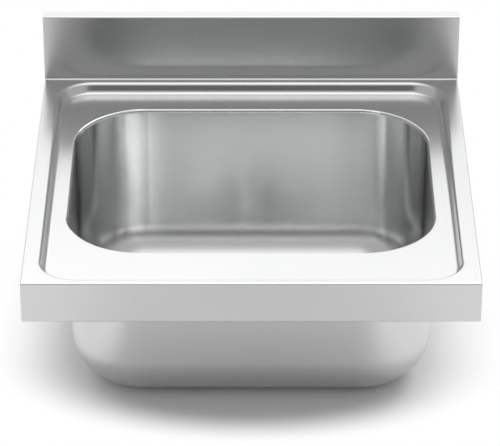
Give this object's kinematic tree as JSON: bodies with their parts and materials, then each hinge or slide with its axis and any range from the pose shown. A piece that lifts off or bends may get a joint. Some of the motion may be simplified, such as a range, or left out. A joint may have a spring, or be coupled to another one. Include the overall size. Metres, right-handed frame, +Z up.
{
  "type": "stainless steel sink top",
  "caption": "Square stainless steel sink top with a recessed deck, wall upstand, folded apron, deep-drawn bowl, under-deck stiffeners and a strainer waste with lift-out basket.",
  "frame": {"origin": "centre of the four base fixing holes, on the plane where the top rests on its base", "axes": "+X to the right seen from the front, +Y to the wall, +Z up"},
  "size_m": [0.6, 0.6, 0.435],
  "materials": {
    "satin_steel": "satin ground stainless steel",
    "bowl_steel": "satin deep-drawn stainless steel",
    "mill_steel": "mill-finish stainless sheet",
    "polished_steel": "polished stainless steel",
    "black_rubber": "moulded EPDM rubber",
    "butyl_pad": "butyl sound-deadening sheet",
    "white_plastic": "moulded polypropylene"
  },
  "bodies": {
    "sink": {"worktop": "satin_steel", "upstand_end_left": "satin_steel", "upstand_end_right": "satin_steel", "rear_rail": "mill_steel", "front_stiffener": "mill_steel", "rear_stiffener": "mill_steel", "gusset_front_left": "mill_steel", "gusset_front_right": "mill_steel", "gusset_rear_left": "mill_steel", "gusset_rear_right": "mill_steel", "bowl": "bowl_steel", "sound_pad_left": "butyl_pad", "sound_pad_right": "butyl_pad", "strainer_cup": "polished_steel", "flange_gasket": "black_rubber", "body_gasket": "black_rubber", "waste_housing": "white_plastic", "boss_nut": "mill_steel", "centre_screw": "polished_steel"},
    "basket": {"strainer_basket": "polished_steel", "basket_seal": "black_rubber", "basket_stem": "polished_steel", "basket_knob": "polished_steel"}
  },
  "joints": [
    {"name": "basket_lift", "type": "slide", "parent": "sink", "child": "basket", "axis": [0, 0, 1], "range_m": [0, 0.4]}
  ]
}
